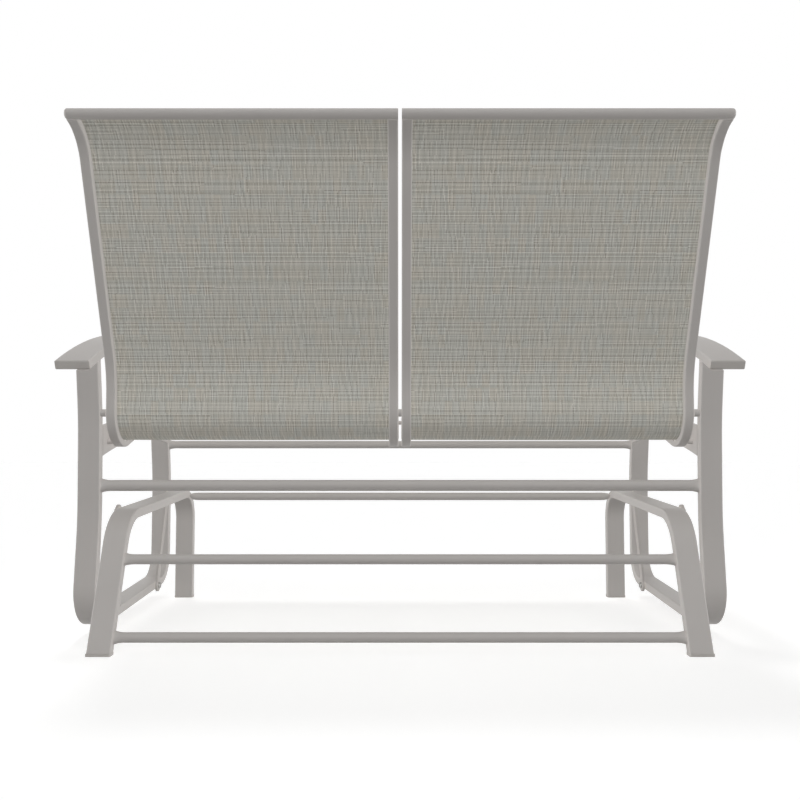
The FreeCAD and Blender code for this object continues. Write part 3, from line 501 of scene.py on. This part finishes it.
def select_only(*pieces):
    """Select these pieces and no others, with the first one active."""
    bpy.ops.object.select_all(action="DESELECT")
    for piece in pieces:
        piece.select_set(True)
    bpy.context.view_layer.objects.active = pieces[0]


def pick_end(piece, way):
    """Select the flat end that looks along X in the given way, and nothing else."""
    bpy.ops.mesh.select_mode(type="FACE")
    bpy.ops.mesh.select_all(action="DESELECT")
    shell = bmesh.from_edit_mesh(piece.data)
    for face in shell.faces:
        if face.normal.x * way > SQUARE_ON:
            face.select_set(True)
    bmesh.update_edit_mesh(piece.data)


print("a flat end is square to X within", round(math.degrees(math.acos(SQUARE_ON)), 1), "degrees")

# %% Model one screw
SCREW_SIDES = 48
KEY_SIDES = 6
DOME_SHARE = 0.55
DOME_STEPS = 6
TIP_CHAMFER = 0.6 * MM


def cut_socket(screw, key, turn):
    """Sink a hexagon into the head, half as deep as it is wide across its flats."""
    bpy.ops.object.select_all(action="DESELECT")
    bpy.ops.mesh.primitive_cylinder_add(vertices=KEY_SIDES, radius=key / math.sqrt(3), depth=key,
                                        rotation=turn)
    cutter = bpy.context.object
    select_only(screw)
    bpy.ops.object.modifier_add(type="BOOLEAN")
    socket = screw.modifiers[-1]
    socket.operation = "DIFFERENCE"
    socket.object = cutter
    bpy.ops.object.modifier_apply(modifier=socket.name)
    bpy.data.objects.remove(cutter)


def socket_screw(head, height, shank, length, key):
    """One screw along X, with the top of its head at the origin and its tip at -X."""
    turn = (0, math.radians(90), 0)
    bpy.ops.object.select_all(action="DESELECT")
    bpy.ops.mesh.primitive_cylinder_add(vertices=SCREW_SIDES, radius=head / 2, depth=height,
                                        location=(-height / 2, 0, 0), rotation=turn)
    screw = bpy.context.object
    bpy.ops.object.transform_apply()
    bpy.ops.object.mode_set(mode="EDIT")
    pick_end(screw, 1)
    bpy.ops.mesh.bevel(offset=height * DOME_SHARE, segments=DOME_STEPS, affect="EDGES")
    pick_end(screw, -1)
    bpy.ops.mesh.inset(thickness=(head - shank) / 2)
    bpy.ops.mesh.extrude_region_move(TRANSFORM_OT_translate={"value": (height - length, 0, 0)})
    bpy.ops.mesh.bevel(offset=TIP_CHAMFER, segments=1, affect="EDGES")
    bpy.ops.object.mode_set(mode="OBJECT")
    cut_socket(screw, key, turn)
    return screw


print("screws have", SCREW_SIDES, "sides and a key of", KEY_SIDES)

# %% Copy the screws to their places
FOLD_ANGLE = math.radians(30)
M8_SCREW = dict(head=14 * MM, height=4.8 * MM, shank=8 * MM, length=26 * MM, key=5 * MM)
M6_SCREW = dict(head=11 * MM, height=3.6 * MM, shank=6 * MM, length=27.6 * MM, key=4 * MM)
SCREWS = {
    "upper_pivot_screws": dict(node="upper_pivot_bolts", body="base", inner_end=555 * MM,
                               head_out=True, **M8_SCREW),
    "lower_pivot_screws": dict(node="lower_pivot_bolts", body="seat", inner_end=583 * MM,
                               head_out=False, **M8_SCREW),
    "stretcher_screws": dict(node="stretcher_bolts", body="seat", inner_end=577 * MM,
                             head_out=True, **M6_SCREW),
}


def place_screws(name, node, body, inner_end, head_out, **size):
    """Four copies of one screw, front and rear on both sides, joined to one piece."""
    model = socket_screw(**size)
    low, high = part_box(node)
    radius = size["head"] / 2
    # The front screws sit higher than the rear ones.
    spots = [(low.y + radius, high.z - radius), (high.y - radius, low.z + radius)]
    top = inner_end + size["length"] if head_out else inner_end
    copies = []
    for side in (1, -1):
        for y, z in spots:
            copy = model.copy()
            copy.data = model.data.copy()
            copy.location = (side * top, y, z)
            copy.rotation_euler.z = 0 if (side > 0) == head_out else math.pi
            bpy.context.scene.collection.objects.link(copy)
            copies.append(copy)
    bpy.data.objects.remove(model)
    select_only(*copies)
    bpy.ops.object.transform_apply()
    bpy.ops.object.join()
    piece = bpy.context.object
    piece.name = name
    piece.data.name = name
    bpy.ops.object.shade_smooth_by_angle(angle=FOLD_ANGLE)
    piece.data.materials.append(bolt_steel)
    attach(piece, body)
    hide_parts(node)
    print(name, len(piece.data.polygons), "faces")


for name, screw in SCREWS.items():
    place_screws(name, **screw)

# %% [markdown]
# ## Slings
#
# Each sling is one strip of mesh, cut wide enough for its two hems, with a rod in each hem that
# locks it into the rail's groove. A cloth simulation could hang it, but a sling is pulled tight, so
# an even grid with a slight sag is closer to the real one. The plain solid in the frame has the
# right path, so its hem line is read from there: the faces that run on smoothly from the seat are
# its upper side, and their edge at the hem is the line. The grid is laid along that line and given
# its thickness last.

# %% Read the hem line from the plain solid
MERGE = 0.01 * MM


def merged_shell(node):
    """A copy of a solid's mesh with the corners of its loose triangles merged."""
    shell = bmesh.new()
    shell.from_mesh(nodes[node].data)
    bmesh.ops.remove_doubles(shell, verts=shell.verts, dist=MERGE)
    shell.normal_update()
    return shell


def upper_side(shell):
    """The faces that run on smoothly from the one that looks most upwards."""
    found = {max(shell.faces, key=lambda face: face.normal.z)}
    waiting = list(found)
    while waiting:
        for edge in waiting.pop().edges:
            if edge.calc_face_angle(math.pi) < FOLD_ANGLE:
                fresh = set(edge.link_faces) - found
                found |= fresh
                waiting += fresh
    return found


def hem_line(node):
    """Points along the hem on the sitter's side, from the top bar to the front bar."""
    shell = merged_shell(node)
    upper = upper_side(shell)
    hem_x = max(abs(vertex.co.x) for vertex in shell.verts)
    beside = {}
    for edge in shell.edges:
        at_hem = all(abs(abs(vertex.co.x) - hem_x) < MERGE for vertex in edge.verts)
        if at_hem and len(upper.intersection(edge.link_faces)) == 1:
            first, second = edge.verts
            beside.setdefault(first, []).append(second)
            beside.setdefault(second, []).append(first)
    ends = [vertex for vertex, near in beside.items() if len(near) == 1]
    walked = [max(ends, key=lambda vertex: vertex.co.z)]
    while ahead := [vertex for vertex in beside[walked[-1]] if vertex not in walked]:
        walked.append(ahead[0])
    points = [vertex.co.copy() for vertex in walked]
    shell.free()
    return points


hem = hem_line("sling_left")
print("hem line of", len(hem), "points")

# %% Space the line evenly
ROW_SPACING = 6 * MM
SMOOTHING_PASSES = 6


def even_points(points, spacing):
    """The same line in even steps, with the facets of its bends eased out."""
    runs = [(b - a).length for a, b in zip(points, points[1:])]
    total = sum(runs)
    count = round(total / spacing)
    even = []
    i = 0
    passed = 0.0
    for k in range(count + 1):
        target = total * k / count
        while i < len(runs) - 1 and passed + runs[i] < target:
            passed += runs[i]
            i += 1
        even.append(points[i].lerp(points[i + 1], (target - passed) / runs[i]))
    for _ in range(SMOOTHING_PASSES):
        middle = [(a + b * 2 + c) / 4 for a, b, c in zip(even, even[1:], even[2:])]
        even = [even[0], *middle, even[-1]]
    return even


line = even_points(hem, ROW_SPACING)
sling_length = sum((b - a).length for a, b in zip(line, line[1:]))
print(len(line), "even points,", round(sling_length, 3), "m long")

# %% Draw the grid of a sheet
COLUMNS = 30
SAG = 0.6 * MM


def sling_grid(name, left, width):
    """An even grid from hem to hem, sagging between the rails, with its flat size as UVs."""
    last = len(line) - 1
    verts = []
    flat = []
    for r, point in enumerate(line):
        ahead = line[min(r + 1, last)] - line[max(r - 1, 0)]
        away = Vector((0, -ahead.z, ahead.y)).normalized()
        for c in range(COLUMNS + 1):
            share = c / COLUMNS
            sag = SAG * (1 - (2 * share - 1) ** 2) * math.sin(math.pi * r / last)
            verts.append(Vector((left + width * share, point.y, point.z)) + away * sag)
            flat.append((width * share, sling_length * r / last))
    faces = []
    for r in range(last):
        for c in range(COLUMNS):
            corner = r * (COLUMNS + 1) + c
            faces.append((corner, corner + COLUMNS + 1, corner + COLUMNS + 2, corner + 1))
    mesh = bpy.data.meshes.new(name)
    mesh.from_pydata(verts, [], faces)
    layer = mesh.uv_layers.new(name="flat")
    for loop in mesh.loops:
        layer.data[loop.index].uv = flat[loop.vertex_index]
    return mesh


print("a grid has", COLUMNS, "columns and", len(line) - 1, "rows")

# %% Lay the two sheets
HANDS = ("left", "right")
CLOTH_THICKNESS = 1.2 * MM


def new_piece(mesh):
    """An object for a new mesh, under the same name, selected by itself."""
    piece = bpy.data.objects.new(mesh.name, mesh)
    bpy.context.scene.collection.objects.link(piece)
    select_only(piece)
    return piece


def lay_sling(hand):
    """One stretched sheet with its thickness, in place of the plain solid."""
    low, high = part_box("sling_" + hand)
    width = high.x - low.x
    mesh = sling_grid("stretched_sling_" + hand, low.x, width)
    piece = new_piece(mesh)
    bpy.ops.object.modifier_add(type="SOLIDIFY")
    # The hem line runs on the sitter's side, so the thickness goes to the other side of the grid.
    wall = piece.modifiers[-1]
    wall.thickness = CLOTH_THICKNESS
    wall.offset = -1
    bpy.ops.object.modifier_apply(modifier=wall.name)
    bpy.ops.object.shade_smooth_by_angle(angle=FOLD_ANGLE)
    mesh.materials.append(sling_cloth)
    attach(piece, "seat")
    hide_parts("sling_" + hand)
    print(piece.name, "flat", round(width, 3), "x", round(sling_length, 3), "m,",
          len(mesh.polygons), "faces")


for hand in HANDS:
    lay_sling(hand)

# %% [markdown]
# ## Welds on the rear leg tops
#
# A rear leg reaches further in than the arm it carries, so part of its end stands free beside the
# arm, and the picture shows that end rising to the arm's lower edge. It is taken to be a run of
# weld that closes the corner, filed to a slope and coated with the rest. A bead could be swept
# along the seam, but the leg's end already has the right outline, so that face is lifted off a copy
# of the solid, drawn up, and let down again along the arm.

# %% Lift the end faces off a copy of the side frames
LEAST_UP = 0.6
LEAST_SLANT = 0.4


def leg_end(hand):
    """The slanted end of one rear leg as a piece of its own."""
    shell = merged_shell("seat_side_" + hand)
    others = []
    for face in shell.faces:
        middle = face.calc_center_median()
        high_at_rear = middle.y > 0 and middle.z > cad_high[2] / 2
        slanted = face.normal.z > LEAST_UP and abs(face.normal.x) > LEAST_SLANT
        if not (high_at_rear and slanted):
            others.append(face)
    bmesh.ops.delete(shell, geom=others, context="FACES")
    mesh = bpy.data.meshes.new("rear_leg_weld_" + hand)
    shell.to_mesh(mesh)
    shell.free()
    return new_piece(mesh)


leg_ends = {hand: leg_end(hand) for hand in HANDS}
print("lifted", [len(piece.data.polygons) for piece in leg_ends.values()], "faces")

# %% Draw the welds up
WELD_RISE = 5.5 * MM
WELD_EDGE = 1.8 * MM
FACE_SLACK = 0.5 * MM
FLAT_ANGLE = math.radians(5)


def pick_beyond(piece, x):
    """Keep selected only the selected points that lie further out than X on either side."""
    shell = bmesh.from_edit_mesh(piece.data)
    for vertex in shell.verts:
        vertex.select_set(vertex.select and abs(vertex.co.x) > x)
    shell.select_flush_mode()
    bmesh.update_edit_mesh(piece.data)


def weld_leg_top(hand):
    """A low wedge on the leg's end, highest away from the arm."""
    piece = leg_ends[hand]
    low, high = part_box("armrest_" + hand)
    arm_edge = min(abs(low.x), abs(high.x))
    select_only(piece)
    bpy.ops.object.mode_set(mode="EDIT")
    bpy.ops.mesh.select_mode(type="VERT")
    bpy.ops.mesh.select_all(action="SELECT")
    bpy.ops.mesh.dissolve_limited(angle_limit=FLAT_ANGLE)
    bpy.ops.mesh.select_all(action="SELECT")
    bpy.ops.mesh.extrude_region_move(TRANSFORM_OT_translate={"value": (0, 0, WELD_RISE)})
    pick_beyond(piece, arm_edge - FACE_SLACK)
    bpy.ops.transform.translate(value=(0, 0, WELD_EDGE - WELD_RISE))
    bpy.ops.mesh.select_all(action="SELECT")
    bpy.ops.mesh.normals_make_consistent(inside=False)
    bpy.ops.object.mode_set(mode="OBJECT")
    bpy.ops.object.shade_smooth_by_angle(angle=FOLD_ANGLE)
    piece.data.materials.append(frame_coat)
    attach(piece, "seat")
    print(piece.name, len(piece.data.polygons), "faces", [round(v, 4) for v in piece.dimensions])


for hand in HANDS:
    weld_leg_top(hand)
